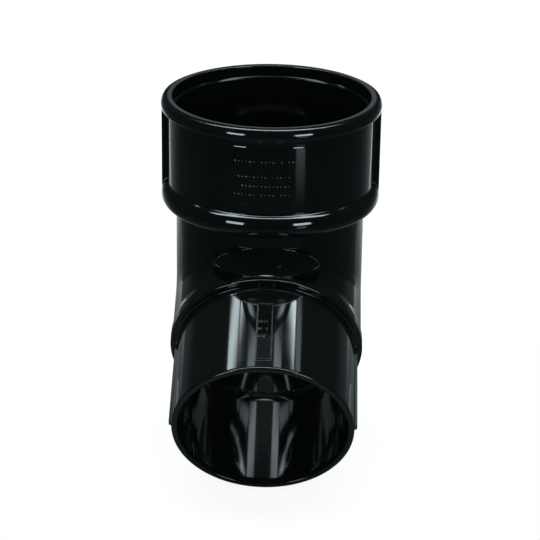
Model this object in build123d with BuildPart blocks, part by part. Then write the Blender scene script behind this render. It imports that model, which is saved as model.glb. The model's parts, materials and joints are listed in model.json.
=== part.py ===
# Downpipe offset bend, 112.5 degrees, for a 68 mm round rainwater downpipe.
# One moulded piece: a beaded socket, a short upright body, a mitred elbow and a stepped outlet.
# Frame: Z up along the socket, the outlet falls towards -Y, the origin is on the socket axis
# at the stop that the incoming pipe rests on. Sizes are in millimetres, angles in degrees.
import os
from math import cos, radians, sin, tan

from build123d import *

os.makedirs("parts", exist_ok=True)

# Pipe and fits
pipe_od = 68.0
pipe_wall = 1.8
socket_clearance = 0.6
spigot_clearance = 0.4

# Walls
body_wall = 2.3
socket_wall = 2.4
spigot_wall = 2.1

# Bend
outlet_fall = 22.5
crossing_drop = 36.2
heel_round_r = 10.0

# Socket
socket_depth = 34.0
lead_in_h = 4.2
lead_in_step = 1.1
crown_inset = 0.4
stop_chamfer = 0.5

# Rim bead and lower ring
bead_proud = 2.5
bead_upper_h = 3.0
bead_lower_h = 1.5
ring_proud = 2.4
ring_section_r = 4.42
ring_rise = 1.9

# Side ribs of the socket
socket_rib_proud = 2.3
socket_rib_t = 2.0

# Plain marking panel on the front of the socket
panel_w = 26.4
panel_h = 20.8
panel_z = 20.6
panel_proud = 0.25
panel_corner_r = 1.5

# Collar, step and spigot
collar_past_throat = 7.9
collar_band = 3.6
collar_flare = 0.5
collar_flare_len = 3.5
spigot_len = 38.7
edge_break = 0.4

# Relief of the bore round the heel, which keeps the wall even
relief_inset = 2.6
relief_taper_len = 4.0

# Grip ribs beside the spigot and the raised strip on top of it
grip_rib_proud = 1.0
grip_rib_t = 2.0
grip_rib_len = 36.8
grip_rib_corner_r = 0.6
strip_w = 5.1
strip_proud = 0.4
strip_len = 34.8

# Flat oval pad in the throat
pad_half_w = 18.3
pad_half_h = 5.0
pad_fill = 3.4
pad_rise = 0.3

# Radii
body_r = pipe_od / 2
body_bore_r = body_r - body_wall
socket_bore_r = body_r + socket_clearance
socket_r = socket_bore_r + socket_wall
spigot_r = body_r - pipe_wall - spigot_clearance
spigot_bore_r = spigot_r - spigot_wall
collar_r = body_r + collar_flare
bead_r = socket_r + bead_proud
ring_r = socket_r + ring_proud
crown_r = socket_r - crown_inset
lead_in_r = socket_bore_r + lead_in_step

# Heights on the socket axis, from the pipe stop
rim_z = socket_depth + lead_in_h
bead_z = rim_z - bead_upper_h
bead_foot_z = bead_z - bead_lower_h
ring_core_r = ring_r - ring_section_r
ring_top_z = ring_rise + (ring_section_r**2 - (socket_r - ring_core_r) ** 2) ** 0.5
ring_foot_z = ring_rise - (ring_section_r**2 - (body_r - ring_core_r) ** 2) ** 0.5

# Distances down the outlet axis, from the point where the axes cross
mitre_tilt = (90.0 - outlet_fall) / 2
throat_s = body_r * tan(radians(mitre_tilt))
step_s = throat_s + collar_past_throat
flare_s = step_s - collar_band
mouth_s = step_s + spigot_len
relief_s = step_s - relief_inset

# Directions and planes
crossing = (0, 0, -crossing_drop)
outlet_dir = (0, -cos(radians(outlet_fall)), -sin(radians(outlet_fall)))
outlet_up = (0, -sin(radians(outlet_fall)), cos(radians(outlet_fall)))
throat_dir = (0, -cos(radians(mitre_tilt)), sin(radians(mitre_tilt)))
mitre_dir = (0, sin(radians(mitre_tilt)), cos(radians(mitre_tilt)))
outlet_axis = Axis(crossing, outlet_dir)
outlet_section = Plane(origin=crossing, x_dir=outlet_up, z_dir=(1, 0, 0))
outlet_level = Plane(origin=crossing, x_dir=(1, 0, 0), z_dir=outlet_up)
mitre_plane = Plane(origin=crossing, x_dir=(1, 0, 0), z_dir=mitre_dir)

# Lengths that only have to pass right through the part
through = 3 * pipe_od
deep = -crossing_drop - pipe_od


def heel_sliver(tube_r, round_r):
    """What the rounded heel leaves off the sharp mitred corner of a tube."""
    run = round_r * tan(radians(mitre_tilt))
    corner_z = -crossing_drop - tube_r * tan(radians(mitre_tilt))
    start = (tube_r, corner_z + run)
    end = (tube_r + outlet_dir[1] * run, corner_z + outlet_dir[2] * run)
    low = corner_z - run
    with BuildPart() as sliver:
        with BuildSketch(Plane.YZ):
            with BuildLine():
                TangentArc(start, end, tangent=(0, -1))
                Polyline(end, (end[0], low), (tube_r + run, low), (tube_r + run, start[1]), start)
            make_face()
        extrude(amount=body_r, both=True)
    return sliver.part


# Upright half, solid: body, lower ring, socket wall and rim bead, cut off at the mitre
bead_outer_r = bead_r - bead_lower_h
arc_turn = sin(radians(45))
with BuildPart() as upright:
    with BuildSketch(Plane.XZ):
        with BuildLine():
            Polyline((0, deep), (body_r, deep), (body_r, ring_foot_z))
            ThreePointArc((body_r, ring_foot_z), (ring_r, ring_rise), (socket_r, ring_top_z))
            Polyline((socket_r, ring_top_z), (socket_r, bead_foot_z), (bead_outer_r, bead_foot_z))
            RadiusArc((bead_outer_r, bead_foot_z), (bead_r, bead_z), -bead_lower_h)
            ThreePointArc(
                (bead_r, bead_z),
                (crown_r + (bead_r - crown_r) * arc_turn, bead_z + bead_upper_h * arc_turn),
                (crown_r, rim_z),
            )
            Polyline((crown_r, rim_z), (0, rim_z), (0, deep))
        make_face()
    revolve(axis=Axis.Z)
    split(bisect_by=mitre_plane, keep=Keep.TOP)

# Falling half, solid: collar and spigot, cut off at the mitre
with BuildPart() as falling:
    with BuildSketch(outlet_section):
        with BuildLine():
            Polyline(
                (0, -pipe_od),
                (body_r, -pipe_od),
                (body_r, flare_s - collar_flare_len),
                (collar_r, flare_s),
                (collar_r, step_s - edge_break),
                (collar_r - edge_break, step_s),
                (spigot_r, step_s),
                (spigot_r, mouth_s - edge_break),
                (spigot_r - edge_break, mouth_s),
                (0, mouth_s),
                (0, -pipe_od),
            )
        make_face()
    revolve(axis=outlet_axis)
    split(bisect_by=mitre_plane, keep=Keep.BOTTOM)

# Core of the socket and the body, with the pipe stop and the lead-in
crown_arc_r = crown_r - lead_in_r
with BuildPart() as upright_core:
    with BuildSketch(Plane.XZ):
        with BuildLine():
            Polyline(
                (0, deep),
                (body_bore_r, deep),
                (body_bore_r, -stop_chamfer),
                (body_bore_r + stop_chamfer, 0),
                (socket_bore_r, 0),
                (socket_bore_r, socket_depth),
                (lead_in_r, rim_z - crown_arc_r),
            )
            RadiusArc((lead_in_r, rim_z - crown_arc_r), (crown_r, rim_z), crown_arc_r)
            Polyline((crown_r, rim_z), (crown_r, rim_z + lead_in_h), (0, rim_z + lead_in_h), (0, deep))
        make_face()
    revolve(axis=Axis.Z)
    split(bisect_by=mitre_plane, keep=Keep.TOP)

# Core of the heel relief, which draws out upwards through the socket
with BuildPart() as relief_core:
    with BuildSketch(outlet_section):
        with BuildLine():
            Polyline(
                (0, -pipe_od),
                (body_bore_r, -pipe_od),
                (body_bore_r, relief_s - relief_taper_len),
                (spigot_bore_r, relief_s),
                (0, relief_s),
                (0, -pipe_od),
            )
        make_face()
    revolve(axis=outlet_axis)
    split(bisect_by=mitre_plane, keep=Keep.BOTTOM)
    Cylinder(body_bore_r, 2 * through, mode=Mode.INTERSECT)

# Core of the outlet, which draws out through the mouth
with BuildPart() as outlet_core:
    with BuildSketch(outlet_section):
        with BuildLine():
            Polyline(
                (0, -pipe_od),
                (spigot_bore_r, -pipe_od),
                (spigot_bore_r, mouth_s - edge_break),
                (spigot_bore_r + edge_break, mouth_s),
                (spigot_bore_r + edge_break, mouth_s + spigot_wall),
                (0, mouth_s + spigot_wall),
                (0, -pipe_od),
            )
        make_face()
    revolve(axis=outlet_axis)
    split(bisect_by=mitre_plane, keep=Keep.BOTTOM)

with BuildPart() as bore:
    add(upright_core.part)
    add(relief_core.part)
    add(outlet_core.part)
    add(heel_sliver(body_bore_r, heel_round_r - body_wall), mode=Mode.SUBTRACT)

# Marking panel, a shallow patch that follows the socket wall
with BuildPart() as panel:
    with BuildSketch(Plane.XZ):
        with Locations((0, panel_z)):
            RectangleRounded(panel_w, panel_h, panel_corner_r)
    extrude(amount=through)
    with Locations((0, 0, panel_z)):
        Cylinder(socket_r + panel_proud, through, mode=Mode.INTERSECT)

# Throat pad, a flat oval that faces out along the mitre and fills the inner corner
pad_reach = body_r / cos(radians(mitre_tilt)) + pad_fill
pad_foot = (body_r**2 - pad_half_w**2) ** 0.5 / cos(radians(mitre_tilt)) - body_wall
pad_centre = tuple(
    crossing[i] + throat_dir[i] * pad_reach + mitre_dir[i] * pad_rise for i in range(3)
)
with BuildPart() as pad:
    with BuildSketch(Plane(origin=pad_centre, x_dir=(1, 0, 0), z_dir=throat_dir)):
        Ellipse(pad_half_w, pad_half_h)
    extrude(amount=pad_foot - pad_reach)

# Finished bend
with BuildPart() as offset_bend:
    add(upright.part)
    add(falling.part)
    add(heel_sliver(body_r, heel_round_r), mode=Mode.SUBTRACT)
    add(panel.part)
    add(pad.part)

    # Side ribs of the socket, from the ring to the bead
    with Locations((0, 0, (ring_rise + bead_z) / 2)):
        Box(2 * (socket_r + socket_rib_proud), socket_rib_t, bead_z - ring_rise)

    # Grip ribs beside the spigot, rooted in the collar
    root = step_s - collar_band / 2
    with BuildSketch(outlet_level):
        with Locations((0, -(root + step_s + grip_rib_len) / 2)):
            RectangleRounded(
                2 * (spigot_r + grip_rib_proud), step_s + grip_rib_len - root, grip_rib_corner_r
            )
    extrude(amount=grip_rib_t / 2, both=True)

    # Raised strip along the top of the spigot
    with BuildSketch(outlet_level):
        with Locations((0, -(root + step_s + strip_len) / 2)):
            Rectangle(strip_w, step_s + strip_len - root)
    extrude(amount=spigot_r + strip_proud)

    add(bore.part, mode=Mode.SUBTRACT)

offset_bend.part.label = "offset_bend"
export_step(offset_bend.part, "parts/offset_bend.step")
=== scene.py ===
# Downpipe offset bend in glossy black moulded uPVC, dressed for a studio picture.
# Frame: metres, Z up along the socket, the outlet falls towards -Y, and the origin is on the
# socket axis at the stop that the incoming pipe rests on.
import json
from math import cos, pi, radians, sin, sqrt, tan

import bmesh
import bpy
import numpy as np
from bpy.props import FloatProperty, IntProperty, PointerProperty, StringProperty
from bpy.types import Operator, Panel, PropertyGroup
from mathutils import Matrix, Vector


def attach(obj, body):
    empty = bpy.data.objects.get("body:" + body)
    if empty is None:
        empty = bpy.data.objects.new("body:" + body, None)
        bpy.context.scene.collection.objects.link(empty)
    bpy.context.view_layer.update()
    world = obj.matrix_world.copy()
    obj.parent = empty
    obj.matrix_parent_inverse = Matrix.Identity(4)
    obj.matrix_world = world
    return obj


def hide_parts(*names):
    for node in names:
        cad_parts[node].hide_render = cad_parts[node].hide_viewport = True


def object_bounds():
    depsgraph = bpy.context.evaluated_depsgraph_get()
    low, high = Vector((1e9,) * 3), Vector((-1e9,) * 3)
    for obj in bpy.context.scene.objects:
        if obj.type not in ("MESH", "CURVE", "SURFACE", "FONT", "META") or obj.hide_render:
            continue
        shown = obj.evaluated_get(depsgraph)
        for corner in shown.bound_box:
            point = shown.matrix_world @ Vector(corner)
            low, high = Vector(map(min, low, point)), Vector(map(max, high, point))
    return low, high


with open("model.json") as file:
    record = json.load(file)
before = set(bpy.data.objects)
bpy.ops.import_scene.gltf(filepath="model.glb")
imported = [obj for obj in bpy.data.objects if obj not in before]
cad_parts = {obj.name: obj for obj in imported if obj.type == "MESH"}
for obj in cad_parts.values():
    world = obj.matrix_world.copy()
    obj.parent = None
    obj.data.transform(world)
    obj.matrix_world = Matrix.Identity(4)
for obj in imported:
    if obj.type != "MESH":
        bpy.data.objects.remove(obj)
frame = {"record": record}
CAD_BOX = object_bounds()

bl_info = {
    "name": "Downpipe Offset Bend",
    "version": (1, 0, 0),
    "blender": (4, 5, 0),
    "location": "3D View > Sidebar > Offset Bend",
    "description": "Builds a moulded rainwater offset bend, its marking bars and a studio for it",
    "category": "Add Mesh",
}

MM = 0.001
MOUNTS = {mount["name"]: mount for mount in frame["record"]["mounts"]}
SOCKET_BORE_R = MOUNTS["socket"]["dims"]["r_mm"] * MM
SOCKET_DEPTH = MOUNTS["socket"]["dims"]["length_mm"] * MM
SPIGOT_R = MOUNTS["spigot"]["dims"]["r_mm"] * MM
FLOOR_Z = CAD_BOX[0][2]


def length(name, description, size_mm):
    """A length property whose default is given in millimetres."""
    return FloatProperty(
        name=name, description=description, default=size_mm * MM, min=0.0, precision=5, unit="LENGTH"
    )


def angle(name, description, degrees):
    """An angle property whose default is given in degrees."""
    return FloatProperty(name=name, description=description, default=radians(degrees), subtype="ANGLE")


def paint(name, description, hex_code):
    """A colour kept as an sRGB hex code."""
    return StringProperty(name=name, description=description, default=hex_code, maxlen=7)


class BendSizes(PropertyGroup):
    """Sizes of the moulding."""

    pipe_od: length("Pipe diameter", "Outside of the pipe and of the body tube", 68.0)
    body_wall: length("Body wall", "Wall of the body tube", 2.3)
    socket_wall: length("Socket wall", "Wall of the socket", 2.4)
    spigot_wall: length("Spigot wall", "Wall of the spigot", 2.1)
    outlet_fall: angle("Outlet fall", "Slope of the outlet below level", 22.5)
    crossing_drop: length("Crossing drop", "From the pipe stop down to where the axes cross", 36.2)
    heel_round_r: length("Heel rounding", "Radius over the back of the bend", 10.0)
    lead_in_h: length("Lead-in height", "Wider entry above the socket bore", 4.2)
    lead_in_step: length("Lead-in step", "How much wider the entry is than the bore", 0.9)
    bead_proud: length("Bead", "How far the rim bead stands out of the socket", 2.5)
    ring_proud: length("Ring", "How far the lower ring stands out of the socket", 2.4)
    ring_section_r: length("Ring section", "Radius of the lower ring's section", 4.42)
    ring_rise: length("Ring rise", "Widest part of the lower ring, above the pipe stop", 1.9)
    side_rib_proud: length("Side rib", "How far the socket's side ribs stand out", 2.3)
    side_rib_t: length("Side rib thickness", "Thickness of the side ribs", 2.0)
    panel_w: length("Panel width", "Marking panel across", 26.4)
    panel_h: length("Panel height", "Marking panel along the socket", 20.8)
    panel_z: length("Panel height above the stop", "Middle of the marking panel", 20.6)
    panel_proud: length("Panel rise", "How far the panel stands out", 0.25)
    panel_corner_r: length("Panel corner", "Rounding of the panel's corners", 1.5)
    collar_past_throat: length("Collar length", "Collar past the throat", 7.9)
    collar_band: length("Collar band", "Straight stretch at the end of the collar", 3.6)
    collar_flare: length("Collar flare", "How much the collar opens", 0.5)
    collar_flare_len: length("Collar flare length", "Stretch over which the collar opens", 3.5)
    spigot_len: length("Spigot length", "From the collar step to the mouth", 38.7)
    grip_rib_proud: length("Grip rib", "How far the grip ribs stand out of the spigot", 1.0)
    grip_rib_len: length("Grip rib length", "Along the spigot", 36.8)
    strip_w: length("Strip width", "Raised strip on top of the spigot", 5.1)
    strip_proud: length("Strip rise", "How far the strip stands out", 0.4)
    strip_len: length("Strip length", "Along the spigot", 34.8)
    pad_half_w: length("Pad half width", "Flat oval pad in the throat", 18.3)
    pad_half_h: length("Pad half height", "Flat oval pad in the throat", 5.0)
    pad_fill: length("Pad fill", "How far the pad fills the inner corner", 3.4)
    pad_rise: length("Pad rise", "Middle of the pad above the mitre's centre line", 0.3)
    pad_draft: angle("Pad draft", "Slope of the pad's side", 8.0)
    throat_round_r: length("Throat rounding", "Radius of the corner at the front of the bend", 1.2)
    side_round_r: length("Side rounding", "Radius of the corner at the sides of the bend", 8.5)
    relief_inset: length("Relief inset", "End of the bore's relief, before the collar step", 2.6)
    relief_taper: length("Relief taper", "Stretch over which the relief runs out", 4.0)


class MarkingSizes(PropertyGroup):
    """Sizes of the plain raised bars and the gate mark."""

    bar_rise: length("Bar rise", "How far a bar stands out of its panel", 0.22)
    bar_w: length("Bar width", "Width of a bar", 0.6)
    panel_row_w: length("Panel row", "Width of a row on the panel", 21.8)
    strip_row_w: length("Strip row", "Width of a row on the strip", 3.6)
    gate_r: length("Gate mark", "Radius of the gate mark", 0.65)
    seed: IntProperty(name="Seed", description="Varies the widths of the bars and their gaps", default=7)


class BendFinish(PropertyGroup):
    """Colour and gloss of the plastic."""

    black: paint("Black", "Colour of the plastic", "#070908")
    roughness: FloatProperty(
        name="Roughness", description="0 is a mirror gloss", default=0.07, min=0.0, max=1.0, subtype="FACTOR"
    )


# The studio's light is a little cool, like daylight
LIGHT = (0.84, 1.0, 1.06)


class StudioSettings(PropertyGroup):
    """Camera and lamps."""

    lens: FloatProperty(name="Lens", description="Focal length in millimetres", default=138.15, min=1.0)
    roll: angle("Roll", "Turn of the camera about its own line of sight", -0.865)


# Profile helpers


def arc(centre, radius, start, stop, steps):
    """Points of a circular arc, angles in degrees."""
    turn = np.radians(np.linspace(start, stop, steps + 1))
    return [(centre[0] + radius * cos(t), centre[1] + radius * sin(t)) for t in turn]


def shares(steps):
    """Equal steps from 0 to 1, without the 0."""
    return np.linspace(0.0, 1.0, steps + 1)[1:]


def between(start, stop, steps):
    """Numbers of a straight stretch, without its first and last."""
    return [start + (stop - start) * t for t in shares(steps)[:-1]]


def run(start, stop, steps):
    """Points of a straight stretch, without its first and last."""
    return list(zip(between(start[0], stop[0], steps), between(start[1], stop[1], steps)))


def flowing(start, tilt, pieces):
    """Points down a profile made of arcs that run into each other. tilt is how far the surface
    faces up at the start, in degrees, and each piece is (tilt at its end, radius, steps)."""
    points = [start]
    for stop, radius, steps in pieces:
        x, z = points[-1]
        radius = radius if stop < tilt else -radius
        for t in np.radians(np.linspace(tilt, stop, steps + 1)[1:]):
            out = radius * (cos(t) - cos(radians(tilt)))
            points.append((x + out, z - radius * (sin(radians(tilt)) - sin(t))))
        tilt = stop
    return points


def step_up(value, edge, width):
    """0 below edge, 1 above it, smooth over width."""
    t = np.clip((value - edge) / width + 0.5, 0.0, 1.0)
    return t * t * (3.0 - 2.0 * t)


def blend_max(a, b, soft):
    """The larger of two, with a fillet where they are within soft of each other."""
    t = np.clip(0.5 + 0.5 * (a - b) / soft, 0.0, 1.0)
    return b + (a - b) * t + soft * t * (1.0 - t)


def azimuth(offset, radius):
    """Azimuth in degrees of a place this far beside the middle of a ring."""
    return np.degrees(np.arcsin(offset / radius))


def clustered(base, clusters):
    """Sorted values of base with finer clusters let in, and no two nearly equal."""
    values = list(base)
    for cluster in clusters:
        lowest, highest, gap = min(cluster), max(cluster), (max(cluster) - min(cluster)) / len(cluster)
        values = [v for v in values if v < lowest - gap or v > highest + gap] + list(cluster)
    return np.array(sorted(values))


class Moulding:
    """Works out the skin of the bend as one closed grid: a column for each azimuth, a row for each
    place along the outside from rim to mouth and back along the inside to the rim."""

    def __init__(self, sizes):
        self.s = sizes
        self.body_r = sizes.pipe_od / 2
        self.bore_r = self.body_r - sizes.body_wall
        self.socket_r = SOCKET_BORE_R + sizes.socket_wall
        self.spigot_bore_r = SPIGOT_R - sizes.spigot_wall
        self.rim_z = SOCKET_DEPTH + sizes.lead_in_h
        self.lead_in_r = SOCKET_BORE_R + sizes.lead_in_step
        self.tilt = (pi / 2 - sizes.outlet_fall) / 2
        self.throat_s = self.body_r * tan(self.tilt)
        self.step_s = self.throat_s + sizes.collar_past_throat
        self.mouth_s = self.step_s + sizes.spigot_len
        self.collar_r = self.body_r + sizes.collar_flare
        self.crossing = np.array([0.0, 0.0, -sizes.crossing_drop])
        self.along = np.array([0.0, -cos(sizes.outlet_fall), -sin(sizes.outlet_fall)])
        self.above = np.array([0.0, -sin(sizes.outlet_fall), cos(sizes.outlet_fall)])
        self.throat_dir = np.array([0.0, -cos(self.tilt), sin(self.tilt)])
        self.mitre_dir = np.array([0.0, sin(self.tilt), cos(self.tilt)])
        self.pad_reach = self.body_r / cos(self.tilt) + sizes.pad_fill
        self.lay_columns()
        self.rows = []

    def lay_columns(self):
        """Azimuths, 0 at the front, closer together where an edge runs along the part."""
        s = self.s
        spacing = 2.6
        pad = azimuth(s.pad_half_w + np.linspace(-0.9, 1.9, 20) * MM, self.body_r)
        strip = azimuth(s.strip_w / 2 + np.linspace(-0.3, 0.4, 8) * MM, SPIGOT_R)
        panel = azimuth(s.panel_w / 2 + np.linspace(-1.0, 0.3, 11) * MM, self.socket_r)
        foot = s.side_rib_t / 2 + 0.6 * MM
        self.rib_offsets = np.linspace(foot, 0.0, 12)
        rib = 90.0 - azimuth(self.rib_offsets, self.body_r)
        half = clustered(np.arange(1.0, 180.0, spacing), [strip, panel, pad])
        half = np.array([v for v in half if abs(v - 90.0) > 90.0 - rib[0] + 0.6])
        half = np.sort(np.concatenate([half, rib, (180.0 - rib)[:-1]]))
        whole = np.concatenate([[0.0], half, [180.0], -half[::-1]])
        self.sin, self.cos = np.sin(np.radians(whole)), np.cos(np.radians(whole))
        off = np.abs(np.abs(whole) - 90.0)
        self.rib_rank = np.full(len(whole), -1)
        for rank, place in enumerate(90.0 - rib):
            self.rib_rank[np.abs(off - place) < 1e-6] = rank
        self.rib_side = np.sign(self.sin)
        self.rib_front = np.sign(self.cos)
        self.mitre = self.body_r * self.cos * tan(self.tilt)
        # How far each column is on the heel, 0 to 1
        self.on_heel = step_up(np.clip(-self.cos, 0.0, 1.0), 0.62, 0.76)

    def ribbed(self, radius, height):
        """(x, front) of each column on a ring of this radius, with a rib of this height at each side.
        height is one number or one for each column."""
        x, front = radius * self.sin, radius * self.cos
        height = np.maximum(height, 0.0) + 0.0 * x
        fillet, corner = 0.35 * MM, 0.35 * MM
        half_t = self.s.side_rib_t / 2
        share = np.clip(height / (fillet + corner), 0.0, 1.0)
        # From its foot each half rib has five columns on the fillet, five on the corner, two on the face
        for rank in range(len(self.rib_offsets)):
            column = self.rib_rank == rank
            plain = self.rib_offsets[rank] * (radius + 0.0 * x) / self.body_r
            if rank < 5:
                turn = rank / 4 * pi / 2
                across = half_t + fillet * share * (1.0 - sin(turn))
                rise = fillet * share * (1.0 - cos(turn))
            elif rank < 10:
                turn = (rank - 5) / 4 * pi / 2
                across = half_t - corner * share * (1.0 - cos(turn))
                rise = height - corner * share * (1.0 - sin(turn))
            else:
                across = (half_t - corner) * (11 - rank) / 2 + 0.0 * x
                rise = height
            across = plain + (across - plain) * share
            out = np.sqrt(np.maximum(radius**2 - across**2, 0.0)) + rise
            x = np.where(column, self.rib_side * out, x)
            front = np.where(column, self.rib_front * across, front)
        return x, front

    def upright_row(self, radius, z, height=0.0):
        """A level ring of the upright half."""
        x, front = self.ribbed(radius, height)
        self.rows.append(np.stack([x, -front, z + 0.0 * x], axis=1))

    def falling_points(self, radius, s, height=0.0):
        """Points square to the outlet axis. radius and s may differ from column to column."""
        x, front = self.ribbed(radius, height)
        s = s + 0.0 * x
        return (
            self.crossing
            + s[:, None] * self.along
            + front[:, None] * self.above
            + x[:, None] * np.array([1.0, 0.0, 0.0])
        )

    def with_panel(self, radius, z):
        """Radius of the socket wall, raised by the marking panel."""
        s = self.s
        x = np.abs(radius * self.sin)
        corner = s.panel_corner_r
        dx = x - s.panel_w / 2 + corner
        dz = abs(z - s.panel_z) - s.panel_h / 2 + corner
        away = np.hypot(np.maximum(dx, 0.0), max(dz, 0.0)) + np.minimum(np.maximum(dx, dz), 0.0) - corner
        inside = (1.0 - step_up(away, 0.0, 0.3 * MM)) * (self.cos > 0.0)
        return radius + (self.panel_radius(radius, z) - radius) * inside

    def panel_radius(self, radius, z):
        """Radius of the panel's face, which leans back a little more towards its top."""
        s = self.s
        up = np.clip((z - s.panel_z) / s.panel_h + 0.5, 0.0, 1.0)
        return radius + s.panel_proud * (1.68 - 0.58 * up - 0.8 * up * up)

    def with_pad(self, points):
        """Lifts points out along the throat on to the flat oval pad, through its fillet."""
        s = self.s
        away = points - self.crossing
        x = away[:, 0]
        across = away @ self.mitre_dir - s.pad_rise
        reach = away @ self.throat_dir
        ring = np.sqrt((x / s.pad_half_w) ** 2 + (across / s.pad_half_h) ** 2)
        slope = np.sqrt((x / s.pad_half_w**2) ** 2 + (across / s.pad_half_h**2) ** 2) + 1e-9
        out = (ring - 1.0) * ring / slope
        edge, fillet = 0.18 * MM, 0.9 * MM
        soft = np.where(out < -edge, 0.0, np.where(out > edge, out, (out + edge) ** 2 / (4 * edge)))
        pad = self.pad_reach - soft / tan(s.pad_draft)
        lifted = blend_max(reach, pad, fillet)
        lift = np.where(self.cos > 0.3, lifted - reach, 0.0)
        return points + lift[:, None] * self.throat_dir

    def with_strip(self, points, s_place):
        """Raises the strip along the top of the spigot."""
        s = self.s
        away = points - self.crossing
        up = away @ self.above
        inside = 1.0 - step_up(np.abs(away[:, 0]), s.strip_w / 2, 0.25 * MM)
        inside = inside * (1.0 - step_up(s_place, self.step_s + s.strip_len, 0.3 * MM)) * (self.cos > 0.0)
        lift = inside * np.maximum(SPIGOT_R + s.strip_proud - up, 0.0)
        return points + lift[:, None] * self.above

    def around_corner(self, offset, radius, rounding):
        """Points along each column at a path length from its mitre corner, upright side negative.
        rounding is the radius of the corner in each column's own upright plane."""
        corner = radius * self.cos * tan(self.tilt)
        x = radius * self.sin
        base = np.stack([x, -radius * self.cos, -self.s.crossing_drop + corner], axis=1)
        return self.rounded(base, offset, rounding)

    def rounded(self, base, offset, rounding):
        """Points at a path length from the sharp corner at base, eased by this radius."""
        reach = rounding * tan(self.tilt)
        turn = np.clip(offset / reach, -1.0, 1.0) * self.tilt
        centre = base + (rounding / cos(self.tilt))[:, None] * self.throat_dir
        round_part = (
            centre
            - rounding[:, None] * self.throat_dir * np.cos(turn)[:, None]
            - rounding[:, None] * self.mitre_dir * np.sin(turn)[:, None]
        )
        down = np.array([0.0, 0.0, -1.0])
        straight = base + offset[:, None] * np.where((offset <= 0.0)[:, None], down, self.along)
        return np.where((np.abs(offset) < reach)[:, None], round_part, straight)

    def rim_and_socket(self):
        """Outside, from the crown of the rim down to the foot of the lower ring."""
        s = self.s
        lip = (self.lead_in_r + 0.3 * MM, self.rim_z - 0.06 * MM)
        # From the lip over a nearly flat top and a crease to the round of the bead
        crown = [(71, 3.9 * MM, 9), (65, 4.4 * MM, 3), (40, 0.25 * MM, 4)]
        crown += [(13.5, 3.7 * MM, 6), (0, 3.1 * MM, 2)]
        crown_w = flowing((0.0, 0.0), 95, crown)[-1][0]
        start = (s.bead_proud + self.socket_r - crown_w, self.rim_z - 0.015 * MM)
        profile = [lip] + run(lip, start, 2) + flowing(start, 95, crown)
        bead_z = profile[-1][1]
        profile += flowing(profile[-1], 0, [(-12, 5.3 * MM, 2), (-90, 0.6 * MM, 6)])[1:]
        fillet = 1.2 * MM
        profile += arc((self.socket_r + fillet, profile[-1][1] - fillet), fillet, 90, 180, 8)
        for radius, z in profile:
            self.upright_row(radius, z, s.side_rib_proud + self.socket_r - radius if z < bead_z else 0.0)
        bead_foot = profile[-1][1]

        section_r, ring_z = s.ring_section_r, s.ring_rise
        core_r = self.socket_r + s.ring_proud - section_r
        # A crease under the socket wall, a broad slope and the round of the ring
        shoulder = [(57, 0.25 * MM, 4), (54, 17.5 * MM, 3), (13.5, 3.4 * MM, 8), (0, 7.6 * MM, 4)]
        ring_h = -flowing((0.0, 0.0), 0, shoulder)[-1][1]
        foot_fillet = 0.6 * MM
        foot_x = self.body_r + foot_fillet - core_r
        foot_y = sqrt((section_r + foot_fillet) ** 2 - foot_x**2)
        half_h = s.panel_h / 2
        top_edge = s.panel_z + half_h + np.linspace(0.3, -1.6, 14) * MM
        low_edge = s.panel_z - half_h + np.linspace(1.6, -0.3, 14) * MM
        heights = between(bead_foot, top_edge[0], 2) + list(top_edge)
        heights += between(top_edge[-1], low_edge[0], 12) + list(low_edge)
        heights += between(low_edge[-1], ring_z + ring_h, 4)
        for z in heights:
            self.upright_row(self.with_panel(self.socket_r, z), z, s.side_rib_proud)

        stop = np.degrees(np.arctan2(-foot_y, foot_x))
        profile = flowing((self.socket_r, ring_z + ring_h), 0, shoulder)
        profile += arc((core_r, ring_z), section_r, 0, stop, 13)[1:-1]
        profile += arc((core_r + foot_x, ring_z - foot_y), foot_fillet, 180 + stop, 180, 4)
        for radius, z in profile:
            self.upright_row(radius, z, self.socket_r + s.side_rib_proud - radius if z > ring_z else 0.0)
        self.body_top = profile[-1][1]

    def collar_radius(self, place):
        """Outer radius of the falling half between the mitre and the step."""
        flare_end = self.step_s - self.s.collar_band
        t = np.clip((place - flare_end) / self.s.collar_flare_len + 1.0, 0.0, 1.0)
        eased = t + (t * t * (3.0 - 2.0 * t) - t) * 0.5
        return self.body_r + self.s.collar_flare * eased

    def elbow_and_collar(self):
        """Outside, from the foot of the ring round the mitre to the edge of the collar."""
        s = self.s
        slope = cos(self.tilt)
        x = np.abs(self.body_r * self.sin)
        share = np.sqrt(np.clip(1.0 - (x / s.pad_half_w) ** 2, 0.0, 1.0))
        on_pad = (self.cos > 0.0) & (x < s.pad_half_w)
        edge = np.where(on_pad, s.pad_half_h * share, 0.0)
        depth = self.body_r * self.cos + s.pad_half_h * share * sin(self.tilt)
        depth = self.pad_reach - depth / cos(self.tilt)
        foot = edge + np.where(on_pad, np.clip(depth, 0.0, None) * tan(s.pad_draft), 0.0)
        side = step_up(1.0 - self.cos, 0.62, 0.85)
        rounding = s.throat_round_r + (s.side_round_r - s.throat_round_r) * side
        rounding += (s.heel_round_r - s.side_round_r) * self.on_heel
        far = np.maximum(foot + 1.5 * MM, rounding * tan(self.tilt) + 0.8 * MM)
        near = np.maximum(edge - 0.6 * MM, 0.25 * MM)

        top = (self.body_top + s.crossing_drop - self.mitre) * slope
        middle, low = far + 0.3 * MM, near + 0.3 * MM
        groups = [(top, middle, 12), (middle, low, 24), (low, 0.0 * x, 8)]
        for start, stop, steps in groups:
            for t in shares(steps):
                offset = -(start + (stop - start) * t) / slope
                points = self.around_corner(offset, self.body_r, rounding)
                self.rows.append(self.with_pad(points))

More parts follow.
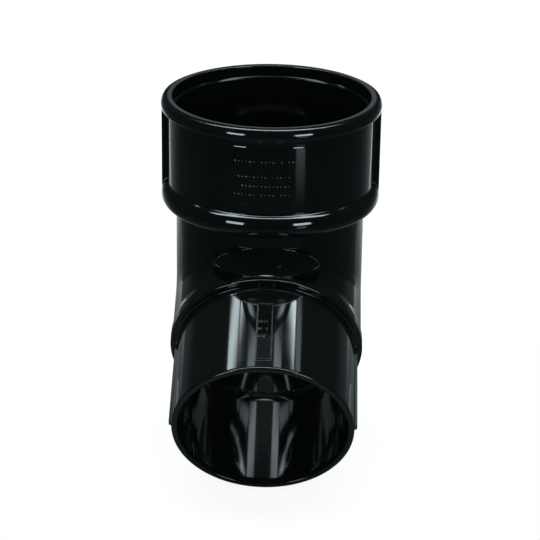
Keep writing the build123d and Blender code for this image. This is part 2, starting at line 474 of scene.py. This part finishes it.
        far = np.minimum(far, (self.step_s - 1.6 * MM - self.mitre) * slope)
        ends = [(0.0 * x, near, 8), (near, far, 24)]
        offsets = []
        for start, stop, steps in ends:
            offsets += [(start + (stop - start) * t) / slope for t in shares(steps)]
        flare_start = self.step_s - s.collar_band - s.collar_flare_len - 0.7 * MM
        last = offsets[-1] + self.mitre
        begin = np.minimum(last, flare_start)
        places = [begin + (flare_start - begin) * t for t in shares(8)]
        places += [flare_start + t * 5.0 * MM + 0.0 * x for t in shares(10)]
        places += [self.step_s - back * MM + 0.0 * x for back in (1.6, 1.0)]
        for rank, place in enumerate(places):
            offsets.append(np.maximum(place, last + 0.03 * MM * (rank + 1)) - self.mitre)
        for offset in offsets:
            place = self.mitre + offset
            radius = np.where(offset > rounding * tan(self.tilt), self.collar_radius(place), self.body_r)
            grown = self.falling_points(radius, place)
            plain = self.around_corner(offset, self.body_r, rounding)
            points = np.where((place > flare_start - 1.0 * MM)[:, None], grown, plain)
            self.rows.append(self.with_pad(points))

    def step_and_spigot(self):
        """Outside, from the edge of the collar over the step to the mouth."""
        s = self.s
        edge, foot, round_r = 0.4 * MM, 0.3 * MM, 0.6 * MM
        profile = arc((self.collar_r - edge, self.step_s - edge), edge, 0, 90, 5)
        profile += run((self.collar_r - edge, self.step_s), (SPIGOT_R + foot, self.step_s), 3)
        profile += arc((SPIGOT_R + foot, self.step_s + foot), foot, -90, -180, 4)
        rib_end = self.step_s + s.grip_rib_len
        strip_end = self.step_s + s.strip_len
        places = between(self.step_s + foot, strip_end - 0.3 * MM, 14)
        places += list(strip_end + np.linspace(-0.3, 0.3, 9) * MM)
        places += between(strip_end + 0.3 * MM, rib_end - round_r, 3)
        profile += [(SPIGOT_R, place) for place in places]
        for radius, place in profile:
            height = SPIGOT_R + s.grip_rib_proud - radius
            points = self.falling_points(radius, place, height)
            self.rows.append(self.with_strip(points, place))
        # The rounded ends of the grip ribs, then their feet
        for turn in np.radians(np.linspace(0.0, 75.0, 5)):
            height = s.grip_rib_proud - round_r * (1.0 - cos(turn))
            self.rows.append(self.falling_points(SPIGOT_R, rib_end - round_r * (1.0 - sin(turn)), height))
        self.rows.append(self.falling_points(SPIGOT_R, rib_end + 0.02 * MM))
        self.rows.append(self.falling_points(SPIGOT_R, rib_end + 0.7 * MM))
        outer, inner = 0.55 * MM, 0.35 * MM
        profile = arc((SPIGOT_R - outer, self.mouth_s - outer), outer, 0, 90, 6)
        profile += run((SPIGOT_R - outer, self.mouth_s), (self.spigot_bore_r + inner, self.mouth_s), 3)
        profile += arc((self.spigot_bore_r + inner, self.mouth_s - inner), inner, 90, 180, 5)
        for radius, place in profile:
            self.rows.append(self.falling_points(radius, place))

    def inside(self):
        """Inside, from the mouth up through the relief and the elbow to the crown of the rim."""
        s = self.s
        open_share = step_up(-self.cos, -0.35, 0.7)
        relief_s = self.step_s - s.relief_inset
        inner_r, sharp_r = s.heel_round_r - s.body_wall, 0.6 * MM
        rounding = sharp_r + (inner_r - sharp_r) * self.on_heel
        fall_r = self.spigot_bore_r + (self.bore_r - self.spigot_bore_r) * open_share
        lift = sin(s.outlet_fall)
        corner = self.cos * (fall_r - lift * self.bore_r) / cos(s.outlet_fall)
        corner_s = (self.bore_r * self.cos - lift * fall_r * self.cos) / cos(s.outlet_fall)
        for place in between(self.mouth_s - 0.35 * MM, relief_s + 0.3 * MM, 16):
            self.rows.append(self.falling_points(self.spigot_bore_r, place))
        far = rounding * tan(self.tilt) * 1.25 + 0.8 * MM
        for place in relief_s - np.linspace(-0.3, 4.4, 14) * MM:
            t = np.clip((relief_s - place) / s.relief_taper, 0.0, 1.0)
            radius = self.spigot_bore_r + (fall_r - self.spigot_bore_r) * t
            place = np.maximum(place + 0.0 * radius, corner_s + far)
            self.rows.append(self.falling_points(radius, place))
        start = np.maximum(relief_s - 4.4 * MM, corner_s + far)
        for t in shares(6):
            self.rows.append(self.falling_points(fall_r, start + (corner_s + far - start) * t))

        # Round the inner corner, each column in its own upright plane
        corner_z = corner - s.crossing_drop
        upright = np.stack([self.bore_r * self.sin, -self.bore_r * self.cos, corner_z], axis=1)
        falling = upright.copy()
        falling[:, 0] = fall_r * self.sin
        for offset in np.linspace(1.0, -1.0, 17):
            base = upright + (falling - upright) * (0.5 + 0.5 * offset)
            self.rows.append(self.rounded(base, far * offset, rounding))

        chamfer, nook = 0.5 * MM, 0.4 * MM
        low = corner_z + far
        for t in shares(12):
            z = low + (-chamfer - low) * t
            self.rows.append(np.stack([self.bore_r * self.sin, -self.bore_r * self.cos, z], axis=1))
        edge = 0.3 * MM
        ledge = SOCKET_DEPTH - 0.4 * MM
        profile = [(self.bore_r + chamfer / 2, -chamfer / 2), (self.bore_r + chamfer, 0.0)]
        profile += run(profile[-1], (SOCKET_BORE_R - nook, 0.0), 3)
        profile += arc((SOCKET_BORE_R - nook, nook), nook, -90, 0, 4)
        profile += run((SOCKET_BORE_R, nook), (SOCKET_BORE_R, ledge - 0.3 * MM), 10)
        # The step up to the wider entry is a cone with sharp edges, in mm out and up
        blend = [(0.0, -0.05), (0.0, -0.008), (0.0008, -0.003), (0.003, -0.0007), (0.005, 0.0004)]
        blend += [(0.02, 0.008), (0.45, 0.2271), (0.86, 0.436), (0.87, 0.4411), (0.88, 0.4462)]
        blend += [(0.8825, 0.448), (0.884, 0.451), (0.8845, 0.455), (0.885, 0.47), (0.9, 0.65)]
        profile += [(SOCKET_BORE_R + out * MM, ledge + up * MM) for out, up in blend]
        profile += run(profile[-1], (self.lead_in_r, self.rim_z - edge), 4)
        profile += arc((self.lead_in_r + edge, self.rim_z - 0.06 * MM - edge), edge, 180, 97, 6)
        for radius, z in profile:
            self.upright_row(radius, z)

    def skin(self):
        """The closed grid as points[row, column] with its outward normals."""
        self.rim_and_socket()
        self.elbow_and_collar()
        self.step_and_spigot()
        self.inside()
        points = np.array(self.rows)
        return points, grid_normals(points)


def slope_along(points, axis):
    """Direction of a closed grid along one axis, true also where its spacing changes."""
    ahead = np.roll(points, -1, axis=axis) - points
    behind = points - np.roll(points, 1, axis=axis)
    long_ahead = np.linalg.norm(ahead, axis=2, keepdims=True) + 1e-12
    long_behind = np.linalg.norm(behind, axis=2, keepdims=True) + 1e-12
    return ahead / long_ahead * long_behind + behind / long_behind * long_ahead


def grid_normals(points):
    """Unit normals of a closed grid, one for each point."""
    normal = np.cross(slope_along(points, 0), slope_along(points, 1))
    size = np.linalg.norm(normal, axis=2, keepdims=True)
    return normal / np.maximum(size, 1e-15)


def grid_mesh(name, points, normals):
    """A closed, smooth mesh from a grid that wraps round both ways."""
    rows, columns = points.shape[:2]
    index = np.arange(rows * columns).reshape(rows, columns)
    right = np.roll(index, -1, axis=1)
    below = np.roll(index, -1, axis=0)
    corner = np.roll(right, -1, axis=0)
    faces = np.stack([index, below, corner, right], axis=2).reshape(-1, 4)
    mesh = bpy.data.meshes.new(name)
    mesh.from_pydata(points.reshape(-1, 3), [], faces.tolist())
    mesh.shade_smooth()
    mesh.update()
    mesh.normals_split_custom_set_from_vertices(normals.reshape(-1, 3).tolist())
    return mesh


# Materials


def linear(hex_code):
    """An sRGB hex code as a linear colour with alpha."""
    parts = [int(hex_code[i : i + 2], 16) / 255 for i in (1, 3, 5)]
    return [c / 12.92 if c <= 0.04045 else ((c + 0.055) / 1.055) ** 2.4 for c in parts] + [1.0]


def node(tree, kind, inputs=(), **values):
    """Adds a node with its settings. inputs pairs an input with its value, the output that feeds it,
    or the node whose first output does."""
    made = tree.nodes.new(kind)
    for key, value in values.items():
        if hasattr(made, key):
            setattr(made, key, value)
        else:
            made.inputs[key.replace("_", " ")].default_value = value
    for socket, source in inputs:
        if isinstance(source, bpy.types.Node):
            source = source.outputs[0]
        if isinstance(source, bpy.types.NodeSocket):
            tree.links.new(source, made.inputs[socket])
        else:
            made.inputs[socket].default_value = source
    return made


def computed(tree, operation, *parts):
    """A Math node over values, outputs or nodes."""
    return node(tree, "ShaderNodeMath", enumerate(parts), operation=operation)


def mapped(tree, value, *limits, smooth=False):
    """A Map Range node. limits are from min, from max, to min and to max, as far as they are needed."""
    way = "SMOOTHSTEP" if smooth else "LINEAR"
    return node(tree, "ShaderNodeMapRange", enumerate((value, *limits)), interpolation_type=way)


def graded(tree, source, stops):
    """A value from -1 to 1 turned into another through (value, result) stops."""
    share = mapped(tree, source, -1.0)
    curve = node(tree, "ShaderNodeValToRGB", [("Fac", share)])
    marks = curve.color_ramp.elements
    marks[0].position, marks[1].position = (stops[0][0] + 1.0) / 2, (stops[-1][0] + 1.0) / 2
    for value, _ in stops[1:-1]:
        marks.new((value + 1.0) / 2)
    for mark, (_, result) in zip(marks, stops):
        mark.color = (result, result, result, 1.0)
    return curve.outputs["Color"]


def moulded_upvc(finish):
    """Unplasticised PVC, injection moulded against a polished tool: near mirror gloss, with a
    slight waviness from the cooling wall and a very fine orange peel."""
    material = bpy.data.materials.new("moulded_upvc_black")
    material.use_nodes = True
    tree = material.node_tree
    shader = tree.nodes["Principled BSDF"]
    shader.inputs["Base Color"].default_value = linear(finish.black)
    shader.inputs["IOR"].default_value = 1.53
    place = node(tree, "ShaderNodeTexCoord").outputs["Object"]

    # Cooling waves about 14 mm long, and orange peel of about 0.8 mm
    wave = node(tree, "ShaderNodeTexNoise", [("Vector", place)], Scale=70.0, Detail=1.0, Roughness=0.4)
    peel = node(tree, "ShaderNodeTexNoise", [("Vector", place)], Scale=1250.0, Detail=1.0, Roughness=0.5)
    wave_bump = node(tree, "ShaderNodeBump", [("Height", wave)], Strength=1.0, Distance=0.02 * MM)
    inputs = [("Height", peel), ("Normal", wave_bump)]
    peel_bump = node(tree, "ShaderNodeBump", inputs, Strength=1.0, Distance=0.0004 * MM)
    tree.links.new(peel_bump.outputs["Normal"], shader.inputs["Normal"])

    # Polish varies by a few percent in patches about 25 mm across
    patch = node(tree, "ShaderNodeTexNoise", [("Vector", place)], Scale=40.0, Detail=3.0, Roughness=0.6)
    rough = mapped(tree, patch, 0.3, 0.7, finish.roughness * 0.75, finish.roughness * 1.3)
    tree.links.new(rough.outputs["Result"], shader.inputs["Roughness"])
    return material


def material_for_bend(context):
    """The one plastic of the part, made once."""
    made = bpy.data.materials.get("moulded_upvc_black")
    return made or moulded_upvc(context.scene.bend_finish)


def add_object(name, data):
    """Puts a mesh, lamp or camera in the scene with its object at the origin."""
    made = bpy.data.objects.new(name, data)
    bpy.context.scene.collection.objects.link(made)
    return made


# Raised marks


def bar_rows_tree():
    """Geometry Nodes for rows of upright bars on a round surface. Each point of the mesh is the middle
    of a row, -Y is out of the surface, and bar_height is how tall the bars of the row are."""
    tree = bpy.data.node_groups.new("bar_rows", "GeometryNodeTree")
    sockets = [("Rows", "Geometry"), ("Row Width", "Float"), ("Bar Width", "Float"), ("Bar Rise", "Float")]
    sockets += [("Places", "Int"), ("Seed", "Int"), ("Material", "Material")]
    for name, kind in sockets:
        tree.interface.new_socket(name, in_out="INPUT", socket_type="NodeSocket" + kind)
    tree.interface.new_socket("Bars", in_out="OUTPUT", socket_type="NodeSocketGeometry")
    given = node(tree, "NodeGroupInput").outputs

    # A line of places along X on every row, some of them left empty
    half = computed(tree, "MULTIPLY", given["Row Width"], -0.5)
    start = node(tree, "ShaderNodeCombineXYZ", [("X", half)])
    gap = computed(tree, "DIVIDE", given["Row Width"], given["Places"])
    step = node(tree, "ShaderNodeCombineXYZ", [("X", gap)])
    line = node(
        tree,
        "GeometryNodeMeshLine",
        [("Count", given["Places"]), ("Start Location", start), ("Offset", step)],
    )
    lines = node(tree, "GeometryNodeInstanceOnPoints", [("Points", given["Rows"]), ("Instance", line)])
    places = node(tree, "GeometryNodeRealizeInstances", [("Geometry", lines)])
    empty = node(
        tree, "FunctionNodeRandomValue", [("Seed", given["Seed"])], data_type="BOOLEAN", Probability=0.22
    )
    chance = next(out for out in empty.outputs if out.enabled)
    kept = node(tree, "GeometryNodeDeleteGeometry", [("Geometry", places), ("Selection", chance)])

    # A rounded bar on each place, half sunk, from 0.7 to 2 bar widths across
    across = node(tree, "FunctionNodeRandomValue", [("Seed", given["Seed"])], data_type="FLOAT")
    limits = [put for put in across.inputs if put.enabled and put.name in ("Min", "Max")]
    limits[0].default_value, limits[1].default_value = 0.7, 2.0
    share = next(out for out in across.outputs if out.enabled)
    width = computed(tree, "MULTIPLY", share, given["Bar Width"])
    depth = computed(tree, "MULTIPLY", given["Bar Rise"], 2.0)
    tall = node(tree, "GeometryNodeInputNamedAttribute", data_type="FLOAT", Name="bar_height")
    scale = node(tree, "ShaderNodeCombineXYZ", [("X", width), ("Y", depth), ("Z", tall)])
    bar = node(tree, "GeometryNodeMeshUVSphere", Segments=10, Rings=6, Radius=0.5)
    bars = node(
        tree, "GeometryNodeInstanceOnPoints", [("Points", kept), ("Instance", bar), ("Scale", scale)]
    )
    solid = node(tree, "GeometryNodeRealizeInstances", [("Geometry", bars)])

    # Wrapped round Z: -Y becomes the radius, and X the way along the circle
    place = node(tree, "ShaderNodeSeparateXYZ", [(0, node(tree, "GeometryNodeInputPosition"))])
    radius = computed(tree, "MULTIPLY", place.outputs["Y"], -1.0)
    turn = computed(tree, "DIVIDE", place.outputs["X"], radius)
    sine = computed(tree, "SINE", turn)
    cosine = computed(tree, "COSINE", turn)
    x = computed(tree, "MULTIPLY", radius, sine)
    y = computed(tree, "MULTIPLY", place.outputs["Y"], cosine)
    wrapped = node(tree, "ShaderNodeCombineXYZ", [("X", x), ("Y", y), ("Z", place.outputs["Z"])])
    moved = node(tree, "GeometryNodeSetPosition", [("Geometry", solid), ("Position", wrapped)])
    final = node(tree, "GeometryNodeRealizeInstances", [("Geometry", moved)])
    final = node(tree, "GeometryNodeSetMaterial", [("Geometry", final), ("Material", given["Material"])])
    node(tree, "NodeGroupOutput", [("Bars", final)])
    return tree


def rows_of_bars(name, rows, values, matrix):
    """A mesh of bars from (radius, z, x, bar height) of each row, taken to its place by a matrix."""
    base = bpy.data.meshes.new(name + "_rows")
    base.from_pydata([(x, -radius, z) for radius, z, x, _ in rows], [], [])
    heights = base.attributes.new("bar_height", "FLOAT", "POINT")
    for item, row in zip(heights.data, rows):
        item.value = row[3]
    holder = add_object(name + "_holder", base)
    modifier = holder.modifiers.new("bars", "NODES")
    modifier.node_group = bpy.data.node_groups.get("bar_rows") or bar_rows_tree()
    for item in modifier.node_group.interface.items_tree:
        if item.in_out == "INPUT" and item.name in values:
            modifier[item.identifier] = values[item.name]
    bpy.context.view_layer.update()
    seen = holder.evaluated_get(bpy.context.evaluated_depsgraph_get())
    mesh = bpy.data.meshes.new_from_object(seen)
    mesh.name = name
    holder.modifiers.remove(modifier)
    bpy.data.objects.remove(holder)
    bpy.data.meshes.remove(base)
    mesh.transform(matrix)
    mesh.shade_smooth()
    return mesh


# Operators


class BEND_OT_marks(Operator):
    """Adds the plain bars on the panel and on the strip, and the gate mark on the pad"""

    bl_idname = "bend.marks"
    bl_label = "Marks"

    def execute(self, context):
        sizes, marks = context.scene.bend_sizes, context.scene.bend_marks
        form = Moulding(sizes)
        material = material_for_bend(context)
        values = {"Bar Width": marks.bar_w, "Seed": marks.seed, "Material": material}

        # Four rows on the panel, whose middle is 0.9 mm to the left: (height, bar height) in mm
        rows = []
        for z, height in ((25.3, 2.2), (19.8, 2.2), (16.5, 2.2), (13.75, 1.1)):
            radius = form.panel_radius(form.socket_r, z * MM)
            rows.append((radius, z * MM, -0.9 * MM, height * MM))
        panel = values | {"Row Width": marks.panel_row_w, "Places": 16, "Bar Rise": marks.bar_rise}
        pieces = [rows_of_bars("panel_bars", rows, panel, Matrix())]

        # Three short rows on the strip
        top = SPIGOT_R + sizes.strip_proud
        rows = [(top, -(form.step_s + s * MM), 0.0, 2.0 * MM) for s in (17.0, 20.4, 23.8)]
        across = (Vector((1, 0, 0)), -Vector(form.above), -Vector(form.along))
        matrix = Matrix.Translation(form.crossing) @ Matrix(across).transposed().to_4x4()
        strip = values | {"Row Width": marks.strip_row_w, "Places": 4, "Bar Rise": 0.75 * marks.bar_rise}
        pieces.append(rows_of_bars("strip_bars", rows, strip, matrix))

        # A low dome where the moulding gate was, to the right of the pad's middle and below it
        dome = bmesh.new()
        bmesh.ops.create_uvsphere(dome, u_segments=16, v_segments=10, radius=marks.gate_r)
        mesh = bpy.data.meshes.new("gate_mark")
        dome.to_mesh(mesh)
        dome.free()
        mesh.transform(Matrix.Diagonal((1.0, 1.0, 0.35, 1.0)))
        place = form.crossing + form.pad_reach * form.throat_dir - 0.9 * MM * form.mitre_dir
        turn = Vector(form.throat_dir).to_track_quat("Z", "Y").to_matrix().to_4x4()
        mesh.transform(Matrix.Translation(Vector(place) + Vector((4.3 * MM, 0, 0))) @ turn)
        mesh.shade_smooth()
        pieces.append(mesh)
        for mesh in pieces:
            mesh.materials.clear()
            mesh.materials.append(material)
            piece = add_object(mesh.name, mesh)
            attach(piece, "root")
        return {"FINISHED"}


class BEND_OT_moulding(Operator):
    """Builds the moulding as one closed skin"""

    bl_idname = "bend.moulding"
    bl_label = "Moulding"

    def execute(self, context):
        points, normals = Moulding(context.scene.bend_sizes).skin()
        mesh = grid_mesh("bend_moulding", points, normals)
        mesh.materials.append(material_for_bend(context))
        piece = add_object("bend_moulding", mesh)
        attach(piece, "root")
        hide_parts("offset_bend")
        return {"FINISHED"}


def lamp(name, place, target, size, radiance, fade=0.0):
    """A rectangular lamp that faces a point and shows as a panel of that radiance. fade is the share
    of its height over which it grows dark towards its two long edges."""
    data = bpy.data.lights.new(name, "AREA")
    data.shape = "RECTANGLE"
    data.size, data.size_y = size
    data.color = LIGHT
    data.energy = radiance * pi * size[0] * size[1]
    if fade:
        data.use_nodes = True
        tree = data.node_tree
        place_on_lamp = node(tree, "ShaderNodeNewGeometry").outputs["Parametric"]
        split = node(tree, "ShaderNodeSeparateXYZ", [("Vector", place_on_lamp)])
        middle = computed(tree, "SUBTRACT", split.outputs["Y"], 0.5)
        away = computed(tree, "ABSOLUTE", middle)
        share = mapped(tree, away, 0.5 - fade, 0.5, 1.0, 0.0, smooth=True)
        tree.links.new(share.outputs["Result"], tree.nodes["Emission"].inputs["Strength"])
    place = Vector(place)
    turn = (Vector(target) - place).to_track_quat("-Z", "Y").to_matrix().to_4x4()
    add_object(name, data).matrix_world = Matrix.Translation(place) @ turn


def toward(azimuth, elevation, distance):
    """A place seen from the object, azimuth from the front towards +X, elevation above level."""
    a, e = radians(azimuth), radians(elevation)
    return Vector((sin(a) * cos(e), -cos(a) * cos(e), sin(e))) * distance


class BEND_OT_studio(Operator):
    """Sets up the floor, the lamps, the world and the camera"""

    bl_idname = "bend.studio"
    bl_label = "Studio"

    def execute(self, context):
        settings = context.scene.bend_studio
        self.floor()
        self.lamps()
        self.world(context)
        self.camera(context, settings)
        context.scene.view_settings.view_transform = "Standard"
        return {"FINISHED"}

    def floor(self):
        """A pale sheet under and behind the object, which keeps a faint shadow."""
        right_side = [(0.085, -0.115), (0.085, 0.06), (0.17, 0.12), (0.27, 0.75)]
        corners = right_side + [(-x, y) for x, y in reversed(right_side)]
        mesh = bpy.data.meshes.new("floor")
        mesh.from_pydata([(x, y, FLOOR_Z) for x, y in corners], [], [tuple(range(len(corners)))])
        material = bpy.data.materials.new("white_card")
        material.use_nodes = True
        tree = material.node_tree
        tree.nodes.clear()
        path = node(tree, "ShaderNodeLightPath")
        seen = computed(tree, "MAXIMUM", path.outputs["Is Camera Ray"], path.outputs["Is Glossy Ray"])
        seen = computed(tree, "MAXIMUM", seen, path.outputs["Is Transmission Ray"])
        share = computed(tree, "MULTIPLY", seen, 0.9)
        card = node(tree, "ShaderNodeBsdfDiffuse", Color=linear("#F4F4F2"))
        # In reflections the card is white far behind and darkens towards the object: painted shade, put in
        # the card's glow to stand for the object's shadow on it
        where = node(tree, "ShaderNodeTexCoord")
        split = node(tree, "ShaderNodeSeparateXYZ", [("Vector", where.outputs["Object"])])
        far = mapped(tree, split.outputs["Y"], 0.08, 0.35, smooth=True)
        strength = mapped(tree, path.outputs["Is Camera Ray"], 0.0, 1.0, far, 1.0)
        glow = node(tree, "ShaderNodeEmission", [("Strength", strength)], Color=(1, 1, 1, 1))
        mixed = node(tree, "ShaderNodeMixShader", [(0, share), (1, card), (2, glow)])
        node(tree, "ShaderNodeOutputMaterial", [("Surface", mixed)])
        mesh.materials.append(material)
        add_object("floor", mesh)

    def lamps(self):
        """Two rows of overhead softboxes, dim panels between them, and three front lamps. An overhead
        panel is given by its edges as shares of its height: left, right, near, far."""
        height = 1.6
        panels = [
            ("overhead_left", (-0.78, -0.53, 0.412, 0.63), 8.5, 0.43),
            ("overhead_middle", (-0.503, 0.585, 0.412, 0.63), 12.5, 0.43),
            ("overhead_right", (0.62, 0.76, 0.412, 0.63), 1.5, 0.43),
            ("overhead_front", (-0.75, 0.75, -0.2, 0.12), 10.0, 0.3),
            ("dim_far", (-0.32, 0.32, 0.385, 0.445), 0.35, 0.2),
            ("dim_near", (-0.165, 0.165, 0.29, 0.383), 0.14, 0.2),
            ("dim_left", (-0.31, -0.17, 0.28, 0.38), 2.6, 0.3),
            ("dim_right", (0.17, 0.31, 0.28, 0.38), 2.6, 0.3),
        ]
        for name, (left, right, near, far), radiance, fade in panels:
            x, y = (left + right) / 2 * height, (near + far) / 2 * height
            size = ((right - left) * height, (far - near) * height)
            lamp(name, (x, y, height), (x, y, 0.0), size, radiance, fade)
        # Front lamps by azimuth and elevation in degrees, all at the same distance
        distance = 1.5
        fronts = [
            ("front_left", -34.0, 7.5, (0.46, 0.42), 10.0, 0.0),
            ("front_right", 34.0, 7.5, (0.46, 0.42), 10.0, 0.0),
            ("front_right_foot", 33.5, -12.0, (0.25, 0.4), 1.3, 0.45),
        ]
        for name, azimuth, elevation, size, radiance, fade in fronts:
            place = toward(azimuth, elevation, distance)
            lamp(name, place, (0.0, 0.0, 0.0), size, radiance, fade)

    def world(self, context):
        """White to the camera, even and slightly cool light, and in reflections a dim room with a pale
        backdrop."""
        world = bpy.data.worlds.new("studio")
        context.scene.world = world
        world.use_nodes = True
        tree = world.node_tree
        tree.nodes.clear()
        path = node(tree, "ShaderNodeLightPath")
        where = node(tree, "ShaderNodeTexCoord")
        split = node(tree, "ShaderNodeSeparateXYZ", [("Vector", where.outputs["Generated"])])
        # In reflections a wall glows behind the object, most of all in a band just below level, the
        # sides of the room are dim, and the front is dark down to a pale floor
        behind = computed(tree, "MAXIMUM", split.outputs["Y"], 0.0)
        steep = computed(tree, "POWER", behind, 5.5)
        band = [(-1.0, 0.3), (-0.40, 0.3), (-0.362, 1.0), (-0.30, 1.0), (-0.23, 0.3)]
        band += [(-0.02, 0.25), (0.09, 0.0)]
        wall = computed(tree, "MULTIPLY", steep, graded(tree, split.outputs["Z"], band))
        side = graded(tree, split.outputs["Y"], [(-0.65, 0.003), (-0.1, 0.022), (0.3, 0.03), (1.0, 0.03)])
        floor = graded(tree, split.outputs["Z"], [(-0.58, 1.0), (-0.42, 0.4), (-0.34, 0.3), (-0.26, 0.0)])
        pale = graded(tree, split.outputs["Y"], [(-1.0, 0.11), (-0.75, 0.09), (-0.45, 0.03), (1.0, 0.03)])
        room = computed(tree, "MULTIPLY_ADD", floor, pale, side)
        wall = computed(tree, "ADD", wall, room)
        # Straight behind, a narrow strip of the backdrop reaches higher
        middle = computed(tree, "ABSOLUTE", split.outputs["X"])
        narrow = graded(tree, middle, [(-1.0, 0.28), (0.07, 0.28), (0.14, 0.0), (1.0, 0.0)])
        high = graded(tree, split.outputs["Z"], [(-0.06, 0.0), (0.0, 1.0), (0.36, 1.0), (0.42, 0.0)])
        ahead = graded(tree, split.outputs["Y"], [(-0.1, 0.0), (0.1, 1.0)])
        strip = computed(tree, "MULTIPLY", narrow, high)
        wall = computed(tree, "MULTIPLY_ADD", strip, ahead, wall)
        seen = computed(tree, "MAXIMUM", path.outputs["Is Glossy Ray"], path.outputs["Is Transmission Ray"])
        room = mapped(tree, seen, 0.0, 1.0, 0.7, wall)
        strength = mapped(tree, path.outputs["Is Camera Ray"], 0.0, 1.0, room, 1.0)
        inputs = [(0, path.outputs["Is Camera Ray"]), (1, [1.0 - part for part in LIGHT]), (2, LIGHT)]
        colour = node(tree, "ShaderNodeVectorMath", inputs, operation="MULTIPLY_ADD")
        glow = node(tree, "ShaderNodeBackground", [("Strength", strength), ("Color", colour)])
        node(tree, "ShaderNodeOutputWorld", [("Surface", glow)])

    def camera(self, context, settings):
        """The photograph's view: a long lens from in front and above."""
        place = Vector((0.01536, -0.70431, 0.26606))
        target = Vector((0.000349, 0.0, -0.029427))
        forward = (target - place).normalized()
        level = forward.cross(Vector((0, 0, 1))).normalized()
        upward = level.cross(forward)
        right = level * cos(settings.roll) - upward * sin(settings.roll)
        up = level * sin(settings.roll) + upward * cos(settings.roll)
        data = bpy.data.cameras.new("camera")
        data.lens = settings.lens
        data.sensor_width = 36.0
        made = add_object("camera", data)
        made.matrix_world = Matrix.Translation(place) @ Matrix((right, up, -forward)).transposed().to_4x4()
        context.scene.camera = made


class BEND_PT_panel(Panel):
    """Lists the sizes of the bend and the buttons that build it"""

    bl_label = "Offset Bend"
    bl_idname = "BEND_PT_panel"
    bl_space_type = "VIEW_3D"
    bl_region_type = "UI"
    bl_category = "Offset Bend"

    def draw(self, context):
        layout = self.layout
        for group in GROUPS:
            settings = getattr(context.scene, group)
            for name in settings.bl_rna.properties.keys():
                if name not in ("rna_type", "name"):
                    layout.prop(settings, name)
        for operator in (BEND_OT_moulding, BEND_OT_marks, BEND_OT_studio):
            layout.operator(operator.bl_idname)


GROUPS = {
    "bend_sizes": BendSizes,
    "bend_marks": MarkingSizes,
    "bend_finish": BendFinish,
    "bend_studio": StudioSettings,
}
CLASSES = (*GROUPS.values(), BEND_OT_moulding, BEND_OT_marks, BEND_OT_studio, BEND_PT_panel)


def register():
    for cls in CLASSES:
        bpy.utils.register_class(cls)
    for name, group in GROUPS.items():
        setattr(bpy.types.Scene, name, PointerProperty(type=group))


def unregister():
    for name in GROUPS:
        delattr(bpy.types.Scene, name)
    for cls in reversed(CLASSES):
        bpy.utils.unregister_class(cls)


def main():
    register()
    bpy.ops.bend.moulding()
    bpy.ops.bend.marks()
    bpy.ops.bend.studio()


if __name__ == "__main__":
    main()
